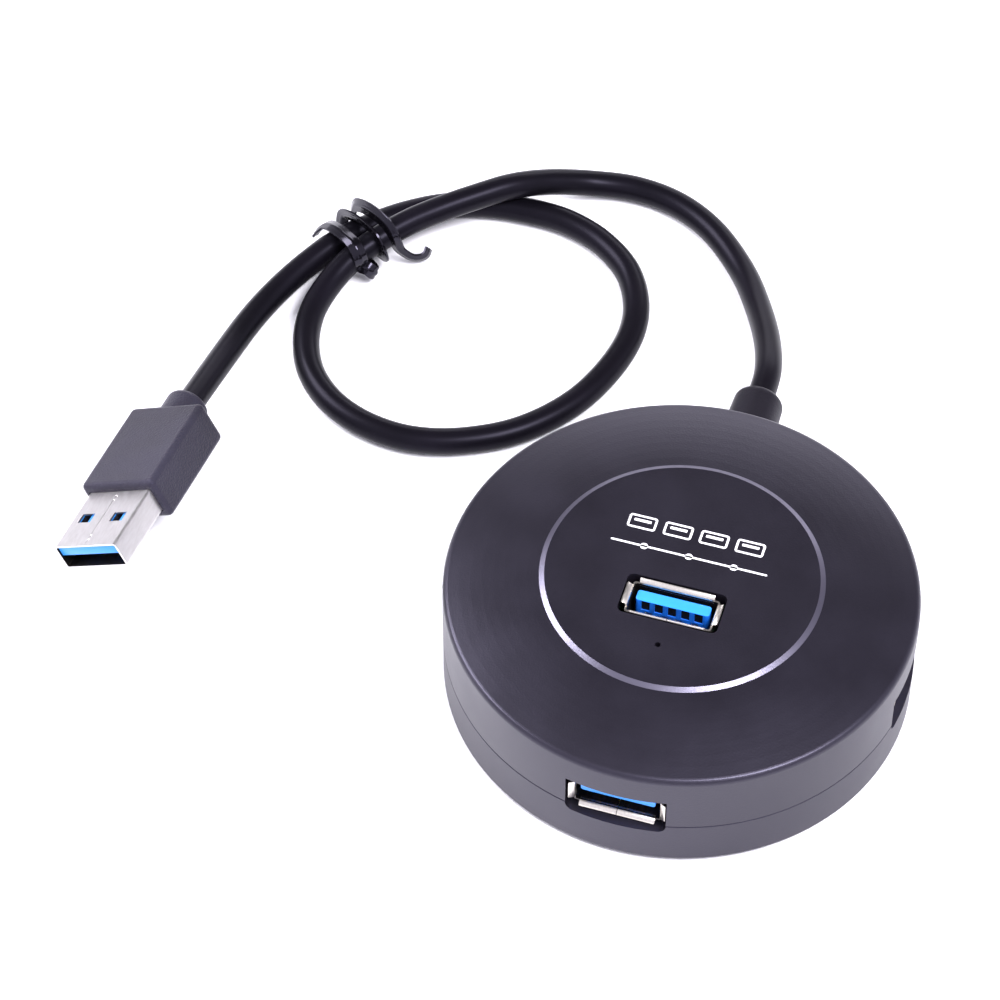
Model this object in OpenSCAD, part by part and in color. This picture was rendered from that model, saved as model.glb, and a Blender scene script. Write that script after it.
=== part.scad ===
// Round four-port desktop hub with a short captive lead and a flat plug.
// Origin: centre of the casing at the surface it stands on. +Z is up and
// the lead leaves at the back, towards +Y. All sizes are in millimetres.

/* [Casing] */
// Outer diameter of the casing
case_d = 70; // [68:0.5:76]
// Height of the casing's rim above the surface
rim_h = 20; // [19.5:0.1:22]
// Height of the raised centre disc above the surface
disc_h = 22.5; // [22.3:0.1:24]
// Diameter of the raised centre disc
disc_d = 41; // [36:0.5:44]
// Height of the joint between the two casing shells
part_z = 8.8; // [8.6:0.1:9.2]
// Thickness of the casing's walls
wall = 2; // [1.6:0.1:2.2]

/* [Ports] */
// Height of the side ports' centres above the surface
port_z = 11; // [10.8:0.1:11.4]
// Width of a port's opening in the casing
mouth_w = 15; // [14.8:0.1:16]
// Height of a port's opening in the casing
mouth_h = 7.2; // [7.1:0.1:8]
// Depth of a side port's face behind the wall
port_recess = 1.6; // [1.2:0.1:2]
// Distance of the top port in front of the casing's centre
top_port_back = 5.4; // [3:0.1:6]

/* [Lead] */
// Diameter of the lead's jacket
cable_d = 4.3; // [3.8:0.1:4.6]
// Diameter of the strain relief where it leaves the wall
relief_d = 8.6; // [8:0.1:9]

/* [Plug] */
// Width of the plug's moulded body
plug_w = 14.2; // [13.6:0.1:16]
// Thickness of the plug's moulded body
plug_t = 7.4; // [7:0.1:8.4]
// Length of the plug's moulded body
plug_l = 18.2; // [16:0.2:22]
// Visible length of the plug's metal shell
tip_l = 11.9; // [11.5:0.1:12.5]

/* [Feet] */
// Diameter of a foot
foot_d = 8; // [6:0.5:9]
// How far the feet lift the casing off the surface
foot_stand = 0.4; // [0.3:0.1:0.6]

/* [Hidden] */
$fn = 64;

case_r = case_d / 2;
base_z = foot_stand;
inner_r = case_r - wall;
floor_z = base_z + 1.8;
ring_r = disc_d / 2 + 0.4;
bevel = [0.75, 0.35];
rim_round = 1;
base_round = 0.7;
seam = 0.15;
lip_t = 0.95;
lip_h = 1;

// connector sizes, shared by all four ports
shield_w = 13.1;
shield_h = 5.7;
sheet_t = 0.3;
flare_y = 0.7;
flare_out = 0.65;
flare_w = 11.3;
flare_h = 3.8;
port_deep = 13.3;
tongue_w = 11.1;
tongue_t = 1.84;
tongue_top = 1.85;
tongue_y = [0.5, 1.86];
block_y = 9.4;
usb2_x = [-3.5, -1, 1, 3.5];
fast_x = [-4, -2, 0, 2, 4];

board_top = port_z - shield_h / 2;
board_t = 1.6;
board_r = 31.6;
board_cut_y = 26.4;
boss_at = 26;
boss_r = 3.2;
screw_r = 1.3;
led_y = top_port_back + 7.8;
top_port_z = disc_h - 0.2;

// each port: name, place of its mouth, turn, and whether it stands upright
side_y = case_r - port_recess;
PORTS = [
    [[0, -top_port_back, top_port_z], [-90, 0, 0], true],
    [[0, -side_y, port_z], [0, 0, 0], false],
    [[side_y, 0, port_z], [0, 0, 90], false],
    [[-side_y, 0, port_z], [0, 0, -90], false]];
function tip(i) = tongue_y[PORTS[i][2] ? 1 : 0];
function deep(i) = PORTS[i][2] ? top_port_z - board_top - 0.05 : port_deep;

// the strain relief runs from its inner flange to its rounded end
relief_in = 30.8;
relief_out = 47;
flange_t = 1.5;
tail_y = 28.8;

// The lead's route: straight out of the strain relief, down to the
// surface, round the back, over itself in a low hump, through the tie,
// round one loop, under the first run, through the tie again and on
// to the plug, where it rises to the plug's back.
route = [[0, relief_out, part_z], [-0.4, 53.5, 8.3], [-2.6, 61.5, 6.2],
    [-6.5, 70.5, 3.6], [-11, 78, 2.3], [-17.5, 84.8, 2.2], [-24.5, 88.8, 2.2],
    [-32, 90.2, 2.2], [-39.2, 88.8, 2.8], [-45.6, 85.1, 4.9], [-50.6, 80.8, 6.7],
    [-55.4, 76.7, 6.9], [-60.2, 72.8, 6.5], [-64.6, 69.1, 5.7], [-68.4, 65, 4.7],
    [-71.5, 60.4, 3.8], [-73.6, 55, 2.8], [-74.4, 48.8, 2.3], [-73.2, 42.4, 2.2],
    [-70.2, 36.6, 2.2], [-65.2, 32, 2.2], [-58.6, 29.2, 2.2], [-51, 28.6, 2.2],
    [-43, 30.8, 2.2], [-35, 35.8, 2.2], [-28.5, 44, 2.2], [-24.8, 54.5, 2.2],
    [-24.6, 63.5, 2.2], [-28, 71.6, 2.2], [-34, 77, 2.2], [-41, 79.8, 2.2],
    [-47.8, 80.3, 2.2], [-54.4, 79.6, 2.2], [-60.7, 77.5, 2.2], [-66.2, 73.9, 2.4],
    [-70.9, 69.2, 2.8], [-75, 64.1, 2.9], [-78.4, 58.4, 2.5], [-81.2, 51.9, 2.2],
    [-83.2, 45, 2.2], [-84.4, 36, 3.2], [-85.3, 21.2, 6.4]];
route_end = len(route) - 1;
sides = 10;

// the plug lies on one long edge, because the stiff lead holds it turned
plug_pitch = 3.5;
plug_roll = 28;
plug_turn = 4;
neck_l = 3.4;
neck_d = 6.2;
plug_round = 0.7;
tip_w = 12;
tip_t = 4.5;
tip_in = 5;

// the tie grips both runs of the lead here
tie_at = [-71.1, 65.4, 3.7];
tie_turn = -40;
tie_roll = 18;
tie_gap = 5;
tie_r = 2.85;
tie_t = 0.55;
tie_w = 1.5;
tie_pitch = 2.1;

function bez(a, b, c, t) = (1 - t) * (1 - t) * a + 2 * t * (1 - t) * b + t * t * c;
function spline(p, q, r, s, t) = 0.5 * (2 * q + (r - p) * t
    + (2 * p - 5 * q + 4 * r - s) * t * t + (3 * q - p - 3 * r + s) * t * t * t);
function unit(v) = v / norm(v);
function route_at(i) = i < 0 ? 2 * route[0] - route[1]
    : i > route_end ? 2 * route[route_end] - route[route_end - 1] : route[i];
function path_at(u) = let (i = min(floor(u), route_end - 1))
    spline(route_at(i - 1), route_at(i), route_at(i + 1), route_at(i + 2), u - i);
function plug_axis() = let (
        x = sin(plug_pitch) * -sin(plug_roll), z = sin(plug_pitch) * cos(plug_roll),
        y = -cos(plug_pitch))
    [x * cos(plug_turn) + y * sin(plug_turn), y * cos(plug_turn) - x * sin(plug_turn), z];
function heading(u) = u <= 0 ? [0, 1, 0] : u >= route_end ? plug_axis()
    : unit(path_at(u + 0.05) - path_at(u - 0.05));

module rounded_rect(w, h, r) {
    square([w - 2 * r, h], center = true);
    square([w, h - 2 * r], center = true);
    for (x = [-1, 1], y = [-1, 1])
        translate([x * (w / 2 - r), y * (h / 2 - r)]) circle(r, $fn = 32);
}
module at_port(i) translate(PORTS[i][0]) rotate(PORTS[i][1]) children();
module at_bosses() for (a = [45:90:315]) rotate(a) translate([boss_at, 0, 0]) children();
module at_feet() for (a = [0:90:270]) rotate(a) translate([boss_at, 0, 0]) children();
module at_plug() translate(route[route_end])
    rotate([-plug_pitch, -plug_roll, -plug_turn]) children();
module along_y(from, to) translate([0, from, 0]) rotate([-90, 0, 0])
    linear_extrude(to - from) children();

// ---------- casing ----------
module side_mouths() {
    corner = 1.2;
    for (i = [1:3]) at_port(i) along_y(-5, 3.2) {
        translate([-mouth_w / 2, -mouth_h / 2]) square([mouth_w, mouth_h - corner]);
        rounded_rect(mouth_w, mouth_h, corner);
    }
}
module relief_hole() translate([0, 0, part_z]) {
    along_y(30, case_r + 2) rotate(70) circle(r = relief_d / 2 + 0.15);
    along_y(tail_y - 1, 31) rotate(70) circle(d = cable_d + 0.4);
}

module top_shell() {
    rim_arc = [for (a = [0:11:77]) [case_r - rim_round + rim_round * cos(a),
        rim_h - rim_round + rim_round * sin(a)]];
    dome_start = rim_arc[len(rim_arc) - 1];
    dome_end = [ring_r, disc_h - bevel[1]];
    dome_mid = [(dome_start[0] + dome_end[0]) / 2, dome_start[1] + 1.55];
    dome = [for (i = [1:8]) bez(dome_start, dome_mid, dome_end, i / 8)];
    color("#2b2930") difference() {
        union() {
            rotate_extrude($fn = 180) polygon(concat(
                [[case_r - seam, part_z], [case_r, part_z + seam]], rim_arc, dome,
                [[ring_r - bevel[0], disc_h], [0, disc_h],
                [0, disc_h - 2.2], [20, disc_h - 2.2], [inner_r - 1.2, rim_h - 1.6],
                [inner_r, rim_h - 2.6], [inner_r, part_z + lip_h + 0.15],
                [inner_r + lip_t + 0.1, part_z + lip_h + 0.15],
                [inner_r + lip_t + 0.1, part_z]]));
            at_bosses() translate([0, 0, board_top + 0.05])
                cylinder(r = boss_r, h = rim_h - board_top - 0.6);
            translate([-7, tail_y + 0.4, part_z + 0.1])
                cube([14, 1.4, rim_h - 0.9 - part_z]);
        }
        at_bosses() translate([0, 0, part_z - 2])
            cylinder(r = screw_r + 0.05, h = 9.5);
        translate([0, -top_port_back, disc_h - 3]) linear_extrude(4)
            rounded_rect(mouth_w, mouth_h, 1);
        translate([0, -led_y, disc_h - 3]) cylinder(d = 0.85, h = 4);
        side_mouths();
        relief_hole();
    }
}

module bottom_shell() {
    base_arc = [for (a = [-90:15:0]) [case_r - base_round + base_round * cos(a),
        base_z + base_round + base_round * sin(a)]];
    color("#35333b") difference() {
        union() {
            rotate_extrude($fn = 180) polygon(concat([[0, base_z]], base_arc,
                [[case_r, part_z - seam], [case_r - seam, part_z],
                [inner_r + lip_t, part_z], [inner_r + lip_t, part_z + lip_h],
                [inner_r, part_z + lip_h], [inner_r, floor_z], [0, floor_z]]));
            at_bosses() translate([0, 0, base_z + 1])
                cylinder(r = boss_r + 0.3, h = board_top - board_t - base_z - 1.05);
            translate([-7, tail_y + 0.4, floor_z - 0.5])
                cube([14, 1.4, part_z - floor_z + 0.45]);
        }
        at_bosses() {
            translate([0, 0, base_z - 1]) cylinder(r = 2.7, h = 3.6);
            translate([0, 0, base_z]) cylinder(r = screw_r + 0.15, h = 8);
        }
        at_feet() translate([0, 0, base_z - 1]) cylinder(d = foot_d + 0.4, h = 1.8);
        side_mouths();
        relief_hole();
    }
}

// ---------- ports ----------
// In a port's own frame the mouth faces -Y, with the tongue towards +Z.
module port_legs(i, r) at_port(i)
    if (PORTS[i][2]) for (x = [-1, 1]) translate([x * (shield_w / 2 - 0.15), 0, 0])
        along_y(deep(i) - 0.3, deep(i) + board_t + 0.7) circle(r = r);
    else for (x = [-1, 1], y = [4.5, 11]) translate([x * (shield_w / 2 - 0.15), y, 0])
        translate([0, 0, -shield_h / 2 - board_t - 0.7])
            cylinder(r = r, h = board_t + 1);
module port_pins(i, r) at_port(i)
    if (PORTS[i][2]) {
        for (x = usb2_x) translate([x, 0, 1]) along_y(12.7, deep(i) + board_t + 0.7)
            circle(r = r);
        for (x = fast_x) translate([x, 0, -1.2]) along_y(12.7, deep(i) + board_t + 0.7)
            circle(r = r);
    } else {
        for (x = usb2_x) translate([x, 10.4, -shield_h / 2 - board_t - 0.7])
            cylinder(r = r, h = board_t + 1.05);
        for (x = fast_x) translate([x, 12.2, -shield_h / 2 - board_t - 0.7])
            cylinder(r = r, h = board_t + 1.05);
    }

module port_shell(i) {
    top_z = shield_h / 2;
    side_x = shield_w / 2;
    color("#c9c6c0") {
        at_port(i) {
            difference() {
                along_y(flare_y, deep(i)) rounded_rect(shield_w, shield_h, 0.5);
                along_y(0, PORTS[i][2] ? deep(i) + 1 : deep(i) - sheet_t)
                    rounded_rect(shield_w - 2 * sheet_t, shield_h - 2 * sheet_t, 0.25);
                if (!PORTS[i][2]) translate([-shield_w / 2 + 0.6, block_y, -top_z - 1])
                    cube([shield_w - 1.2, 5, 2]);
            }
            for (m = [0, 1]) {
                mirror([0, 0, m]) translate([-flare_w / 2, 0, 0]) rotate([90, 0, 90])
                    linear_extrude(flare_w) polygon([[flare_y, top_z - sheet_t],
                        [flare_y, top_z], [0, top_z + flare_out - 0.1],
                        [0, top_z + flare_out - 0.4]]);
                mirror([m, 0, 0]) translate([0, 0, -flare_h / 2]) linear_extrude(flare_h)
                    polygon([[side_x - sheet_t, flare_y], [side_x, flare_y],
                        [side_x + flare_out, 0], [side_x + flare_out - 0.3, 0]]);
            }
        }
        port_legs(i, 0.4);
    }
}

module port_tongue(i) color("#2f86e0") at_port(i) difference() {
    union() {
        translate([-tongue_w / 2, tip(i), tongue_top - tongue_t])
            cube([tongue_w, block_y - tip(i) + 1, tongue_t]);
        translate([-6.1, block_y, -2.45]) cube([12.2, 3.3, 4.9]);
    }
    for (x = fast_x) translate([x - 0.62, tip(i) + 0.12, tongue_top - tongue_t - 1])
        cube([1.24, 2, 1.45]);
    for (x = usb2_x) translate([x - 0.5, tip(i) + 2.6, tongue_top - tongue_t - 1])
        cube([1, block_y - tip(i) - 2.6, 1.35]);
}

module port_contacts(i) color("#b8a36a") {
    face = tongue_top - tongue_t;
    at_port(i) {
        for (x = fast_x) translate([x - 0.58, tip(i) + 0.16, face + 0.25])
            cube([1.16, 1.92, 0.2]);
        for (x = usb2_x) translate([x, 0, 0]) rotate([90, 0, 90])
            translate([0, 0, -0.35]) linear_extrude(0.7) polygon([
                [block_y, face + 0.35], [tip(i) + 3, face + 0.35],
                [tip(i) + 3, face + 0.15], [tip(i) + 3.8, face - 0.7],
                [tip(i) + 4.4, face - 0.7], [block_y - 1, face + 0.1],
                [block_y, face + 0.1]]);
    }
    port_pins(i, 0.3);
}

// ---------- circuit board and what stands on it ----------
module on_board(x, y, turn = 0) translate([x, y, board_top]) rotate(turn) children();

module circuit_board() color("#1d5c3a") difference() {
    translate([0, 0, board_top - board_t]) cylinder(r = board_r, h = board_t, $fn = 120);
    translate([-20, board_cut_y, 0]) cube([40, 20, 20]);
    at_bosses() cylinder(r = 1.6, h = 20);
    for (i = [0:3]) {
        port_legs(i, 0.6);
        port_pins(i, 0.45);
    }
    for (x = [-1.27, 1.27]) translate([x, -led_y, 0]) cylinder(r = 0.5, h = 20);
}

chip_at = [-11, 9];
chip_w = 7;
module hub_chip() color("#1b1b1e") on_board(chip_at[0], chip_at[1]) difference() {
    translate([-chip_w / 2, -chip_w / 2, 0.15]) cube([chip_w, chip_w, 1.3]);
    translate([1 - chip_w / 2, 1 - chip_w / 2, 1.3]) cylinder(r = 0.35, h = 1);
}
module hub_chip_leads() color("#b9bcc0") on_board(chip_at[0], chip_at[1])
    for (side = [0:3], k = [-5.5:5.5]) rotate(side * 90)
        translate([chip_w / 2, k * 0.5 - 0.11, 0]) {
            cube([1, 0.22, 0.14]);
            cube([0.3, 0.22, 0.7]);
        }
module crystal() color("#c4c6c8") on_board(12, 13) {
    translate([-3.2, -2.3, 0.2]) cube([6.4, 4.6, 3.3]);
    for (x = [-1, 1]) translate([x * 3.2, 0, 0.2]) cylinder(r = 2.3, h = 3.3);
    for (x = [-1, 1]) translate([x * 2.4, 0, 0]) cylinder(r = 0.3, h = 0.4);
}
module regulator() color("#1b1b1e") on_board(-9, 19) translate([-3.25, -1.75, 0.1])
    cube([6.5, 3.5, 1.6]);
module regulator_leads() color("#b9bcc0") on_board(-9, 19) {
    for (x = [-2.3, 0, 2.3]) translate([x - 0.35, -3.4, 0]) cube([0.7, 1.65, 0.25]);
    translate([-1.5, 1.75, 0]) cube([3, 1.6, 0.25]);
}
module filter_capacitors() color("#a9adb3") for (x = [-13, 13]) on_board(x, -13) {
    translate([-2.6, -2.6, 0]) cube([5.2, 5.2, 1]);
    cylinder(r = 2.5, h = 5.4);
}
module chips_row(x, y, n, pitch, size) for (k = [0:n - 1])
    on_board(x + k * pitch, y) translate([-size[0] / 2, -size[1] / 2, 0]) cube(size);
module small_capacitors() color("#b08a5e") {
    chips_row(-18, 3, 6, 1.8, [0.8, 1.6, 0.8]);
    chips_row(-5, 13, 5, 1.8, [0.8, 1.6, 0.8]);
}
module small_resistors() color("#202024") {
    chips_row(8, 6, 6, 1.8, [0.8, 1.6, 0.5]);
    chips_row(-5, 17, 5, 1.8, [0.8, 1.6, 0.5]);
}
module surge_protectors() color("#1b1b1e") {
    for (x = [-10, 10]) on_board(x, -20, 90) translate([-1.45, -0.8, 0])
        cube([2.9, 1.6, 1.1]);
    for (x = [-17, 17]) on_board(x, 9) translate([-0.8, -1.45, 0])
        cube([1.6, 2.9, 1.1]);
}
module port_fuses() color("#3c6e4c") for (x = [-14, -9.5, 9.5, 14])
    on_board(x, -5) translate([-1.6, -2.25, 0]) cube([3.2, 4.5, 0.9]);

module indicator_led() color("#bcd4f2") translate([0, -led_y, 0]) {
    translate([0, 0, 15.2]) cylinder(r = 1.85, h = 0.9);
    translate([0, 0, 15.2]) cylinder(r = 1.5, h = 3);
    translate([0, 0, 18.2]) sphere(r = 1.5);
}
module led_leads() color("#b9bcc0") for (x = [-1.27, 1.27])
    translate([x - 0.25, -led_y - 0.25, board_top - board_t - 0.7])
        cube([0.5, 0.5, 15.2 - board_top + board_t + 0.7]);

// nine wires fan out from two rows in the jacket to one row of joints
wire_r = 0.26;
joint_y = 24.6;
joint_h = 0.5;
joint_pitch = 1;
module rod(a, b, r) {
    v = b - a;
    translate(a) rotate([0, acos(v[2] / norm(v)), atan2(v[1], v[0])])
        cylinder(r = r, h = norm(v), $fn = 24);
}
module inner_wires() color("#b0342c") for (k = [-4:4]) {
    from = [0.36 * k, tail_y - 0.2, part_z + (abs(k) % 2 == 0 ? -0.8 : 0.8)];
    to = [joint_pitch * k, joint_y, board_top + joint_h + wire_r + 0.02];
    rod(from, to, wire_r);
}
module wire_solder() color("#c8ccd2") for (k = [-4:4])
    on_board(joint_pitch * k, joint_y) cylinder(r1 = 0.42, r2 = 0.3, h = joint_h, $fn = 24);
module cable_tail() color("#202024") translate([0, 0, part_z])
    along_y(tail_y, relief_in) circle(d = cable_d);

// ---------- fasteners and feet ----------
module case_screws() color("#8d8f94") at_bosses() {
    head_z = base_z + 1;
    head_h = 1.6;
    difference() {
        translate([0, 0, head_z]) cylinder(r = 2.3, h = head_h);
        for (a = [0, 90]) rotate(a) translate([-1.4, -0.3, head_z - 1])
            cube([2.8, 0.6, 1.9]);
    }
    translate([0, 0, head_z + head_h]) cylinder(r = screw_r, h = 11);
}
module rubber_feet() color("#17161a") at_feet() {
    cylinder(d1 = foot_d - 0.6, d2 = foot_d, h = 0.3);
    translate([0, 0, 0.3]) cylinder(d = foot_d, h = base_z + 0.5);
}

// ---------- lead ----------
module strain_relief() {
    end_r = relief_d / 2 - 0.4;
    round_r = 1.3;
    nose = [for (a = [0:15:90]) [end_r - round_r + round_r * cos(a),
        relief_out - round_r + round_r * sin(a)]];
    color("#201f24") translate([0, 0, part_z]) rotate([-90, 0, 0]) rotate_extrude()
        polygon(concat([[0, relief_in], [relief_d / 2 + 0.9, relief_in],
            [relief_d / 2 + 0.9, relief_in + flange_t],
            [relief_d / 2, relief_in + flange_t], [relief_d / 2, case_r]],
            nose, [[0, relief_out]]));
}

module hub_cable() {
    steps = 2 * route_end;
    rings = [for (k = [0:steps]) let (u = k / 2, p = path_at(u), t = heading(u),
            n = unit(cross(t, [0, 0, 1])), b = cross(n, t))
        for (s = [0:sides - 1]) let (a = 360 * s / sides)
            p + cable_d / 2 * (cos(a) * n + sin(a) * b)];
    walls = [for (k = [0:steps - 1], s = [0:sides - 1]) let (q = (s + 1) % sides)
        [k * sides + s, k * sides + q, (k + 1) * sides + q, (k + 1) * sides + s]];
    first = [for (s = [0:sides - 1]) sides - 1 - s];
    last = [for (s = [0:sides - 1]) steps * sides + s];
    color("#1d1c21") polyhedron(rings, concat([first], walls, [last]));
}

module twist_tie() color("#131317") translate(tie_at) rotate(tie_turn) {
    rotate([0, -tie_roll, 0]) for (k = [-1:1])
        along_y(k * tie_pitch - tie_w / 2, k * tie_pitch + tie_w / 2) difference() {
            union() {
                for (x = [-1, 1]) translate([x * tie_gap / 2, 0]) circle(r = tie_r);
                square([tie_gap, 2 * tie_r], center = true);
            }
            for (x = [-1, 1]) translate([x * tie_gap / 2, 0]) circle(r = tie_r - tie_t);
            square([tie_gap, 2 * (tie_r - tie_t)], center = true);
        }
    rod([tie_gap / 2 + 2.65, 0, 1.5], [tie_gap / 2 + 7.9, 3.5, -2.6], 0.6);
}

// ---------- plug ----------
// In the plug's own frame the lead enters at the origin and the tip is at -Y.
front_y = -neck_l - plug_l;
module plug_body() color("#2c2a31") at_plug() difference() {
    union() {
        hull() for (x = [-1, 1], z = [-1, 1], y = [front_y + plug_round, -neck_l - plug_round])
            translate([x * (plug_w / 2 - plug_round), y, z * (plug_t / 2 - plug_round)])
                sphere(r = plug_round, $fn = 24);
        rotate([90, 0, 0]) rotate_extrude() polygon(concat([[0, 0]],
            [for (a = [-90:15:0]) [neck_d / 2 - 0.8 + 0.8 * cos(a), 0.8 + 0.8 * sin(a)]],
            [[neck_d / 2, neck_l + 1], [0, neck_l + 1]]));
    }
    translate([-tip_w / 2 - 0.05, front_y - 1, -tip_t / 2 - 0.05])
        cube([tip_w + 0.1, tip_in + 1.05, tip_t + 0.1]);
}
module plug_shell() color("#d6d0c8") at_plug() difference() {
    translate([0, front_y, 0]) along_y(-tip_l, tip_in) rounded_rect(tip_w, tip_t, 0.6);
    translate([0, front_y, 0]) along_y(-tip_l - 1, tip_in + 1)
        rounded_rect(tip_w - 2 * sheet_t, tip_t - 2 * sheet_t, 0.3);
    for (x = [-3.1, 3.1]) translate([x - 1.25, front_y - tip_l + 5.1, -tip_t])
        cube([2.5, 2.1, 2 * tip_t]);
}
module plug_insulator() color("#2f86e0") at_plug() translate([0, front_y, 0]) {
    translate([-5.65, -tip_l + 0.5, 0.1]) cube([11.3, tip_l, 1.8]);
    translate([-5.65, -2, -1.9]) cube([11.3, tip_in + 1.9, 3.8]);
}
module plug_contacts() color("#b8a36a") at_plug() translate([0, front_y, 0]) {
    for (x = usb2_x) translate([x - 0.5, -tip_l + 1.6, -0.02]) cube([1, 6, 0.12]);
    for (x = fast_x) translate([x - 0.3, -3.9, -0.4]) cube([0.6, 1.8, 0.5]);
}

top_shell();
bottom_shell();
circuit_board();
port_shell(0);  // top_port_shell
port_shell(1);  // front_port_shell
port_shell(2);  // right_port_shell
port_shell(3);  // left_port_shell
port_tongue(0);  // top_port_tongue
port_tongue(1);  // front_port_tongue
port_tongue(2);  // right_port_tongue
port_tongue(3);  // left_port_tongue
port_contacts(0);  // top_port_contacts
port_contacts(1);  // front_port_contacts
port_contacts(2);  // right_port_contacts
port_contacts(3);  // left_port_contacts
hub_chip();
hub_chip_leads();
crystal();
regulator();
regulator_leads();
filter_capacitors();
small_capacitors();
small_resistors();
surge_protectors();
port_fuses();
indicator_led();
led_leads();
inner_wires();
wire_solder();
cable_tail();
case_screws();
rubber_feet();
strain_relief();
hub_cable();
twist_tie();
plug_body();
plug_shell();
plug_insulator();
plug_contacts();
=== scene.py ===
import math

import bpy
from mathutils import Matrix, Vector


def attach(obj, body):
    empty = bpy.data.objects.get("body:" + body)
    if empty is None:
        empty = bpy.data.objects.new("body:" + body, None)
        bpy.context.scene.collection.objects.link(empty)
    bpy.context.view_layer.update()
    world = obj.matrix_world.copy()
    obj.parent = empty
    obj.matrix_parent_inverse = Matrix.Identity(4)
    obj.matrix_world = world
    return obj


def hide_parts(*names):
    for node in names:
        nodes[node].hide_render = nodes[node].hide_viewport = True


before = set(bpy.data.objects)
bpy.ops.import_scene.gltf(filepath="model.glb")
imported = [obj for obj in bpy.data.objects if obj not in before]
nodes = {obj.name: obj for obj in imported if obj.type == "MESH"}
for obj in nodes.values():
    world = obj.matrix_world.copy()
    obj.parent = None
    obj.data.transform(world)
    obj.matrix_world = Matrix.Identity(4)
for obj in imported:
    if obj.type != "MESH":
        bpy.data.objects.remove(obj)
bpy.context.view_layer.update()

mm = 0.001
bpy.ops.object.select_all(action="DESELECT")


# small helpers

def linearColour(hexCode):
    # sRGB hex to the linear numbers that a shader wants
    steps = [int(hexCode[i:i + 2], 16) / 255 for i in (1, 3, 5)]
    return tuple(s / 12.92 if s <= 0.04045 else ((s + 0.055) / 1.055) ** 2.4 for s in steps) + (1.0,)


def addNode(tree, kind, values=None, links=None, **settings):
    made = tree.nodes.new("ShaderNode" + kind)
    for name, value in settings.items():
        setattr(made, name, value)
    for name, value in (values or {}).items():
        made.inputs[name].default_value = value
    for name, source in (links or {}).items():
        tree.links.new(source, made.inputs[name])
    return made


def startMaterial(name, **shaderValues):
    material = bpy.data.materials.new(name)
    material.use_nodes = True
    tree = material.node_tree
    shader = tree.nodes["Principled BSDF"]
    for socket, value in shaderValues.items():
        shader.inputs[socket.replace("_", " ")].default_value = value
    return material, tree, shader


def paint(piece, material):
    piece.data.materials.clear()
    piece.data.materials.append(material)


def dress(nodeName, material):
    # a CAD node keeps its shape and gets a better surface
    slots = nodes[nodeName].material_slots
    for slot in slots:
        slot.material = material
    if not slots:
        nodes[nodeName].data.materials.append(material)


def letGo():
    # back to object mode with nothing selected
    if bpy.context.mode != "OBJECT":
        bpy.ops.object.mode_set(mode="OBJECT")
    bpy.ops.object.select_all(action="DESELECT")


def pickOne(piece):
    letGo()
    piece.select_set(True)
    bpy.context.view_layer.objects.active = piece


def settle(piece, name):
    # puts the place into the mesh, so that the object stays at the origin
    piece.name = name
    piece.data.name = name
    pickOne(piece)
    bpy.ops.object.transform_apply(location=True, rotation=True, scale=True)
    return piece


def joinUp(pieces):
    letGo()
    for piece in pieces:
        piece.select_set(True)
    bpy.context.view_layer.objects.active = pieces[0]
    bpy.ops.object.join()
    return bpy.context.view_layer.objects.active


def addModifier(piece, kind, **settings):
    pickOne(piece)
    modifier = piece.modifiers.new(kind.title(), kind)
    for key, value in settings.items():
        setattr(modifier, key, value)
    bpy.ops.object.modifier_apply(modifier=modifier.name)


def smoothBy(piece, degrees):
    pickOne(piece)
    bpy.ops.object.shade_smooth_by_angle(angle=math.radians(degrees))


def chooseFaces(piece, test):
    # leaves the piece in edit mode with just the wanted faces selected
    pickOne(piece)
    bpy.ops.object.mode_set(mode="EDIT")
    bpy.ops.mesh.select_mode(type="FACE")
    bpy.ops.mesh.select_all(action="DESELECT")
    bpy.ops.object.mode_set(mode="OBJECT")
    for face in piece.data.polygons:
        face.select = test(face.center, face.normal)
    bpy.ops.object.mode_set(mode="EDIT")


def chooseEdges(piece, test):
    pickOne(piece)
    bpy.ops.object.mode_set(mode="EDIT")
    bpy.ops.mesh.select_mode(type="EDGE")
    bpy.ops.mesh.select_all(action="DESELECT")
    bpy.ops.object.mode_set(mode="OBJECT")
    corners = piece.data.vertices
    for edge in piece.data.edges:
        a, b = (corners[i].co for i in edge.vertices)
        edge.select = test((a + b) / 2, (b - a).normalized())
    bpy.ops.object.mode_set(mode="EDIT")


def chooseCorners(piece, test):
    pickOne(piece)
    bpy.ops.object.mode_set(mode="EDIT")
    bpy.ops.mesh.select_mode(type="VERT")
    bpy.ops.mesh.select_all(action="DESELECT")
    bpy.ops.object.mode_set(mode="OBJECT")
    for corner in piece.data.vertices:
        corner.select = test(corner.co)
    bpy.ops.object.mode_set(mode="EDIT")


def leaveEdit():
    bpy.ops.object.mode_set(mode="OBJECT")


def addBlock(low, high):
    # a box from its two corners, in millimetres while it is being shaped
    low, high = Vector(low), Vector(high)
    letGo()
    bpy.ops.mesh.primitive_cube_add(size=1, location=(low + high) / 2)
    bpy.context.object.scale = high - low
    bpy.ops.object.transform_apply(location=True, rotation=True, scale=True)
    return bpy.context.object


def combine(piece, tool, kind="DIFFERENCE"):
    # an exact boolean; the tool may be made of blocks that overlap
    pickOne(piece)
    change = piece.modifiers.new("combine", "BOOLEAN")
    change.operation, change.object, change.solver, change.use_self = kind, tool, "EXACT", True
    bpy.ops.object.modifier_apply(modifier=change.name)
    bpy.data.objects.remove(tool)


def softenEdges(piece, width, segments=2, degrees=30):
    addModifier(piece, "BEVEL", width=width, segments=segments, limit_method="ANGLE",
                angle_limit=math.radians(degrees), use_clamp_overlap=True, harden_normals=False)
    smoothBy(piece, 40)


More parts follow.
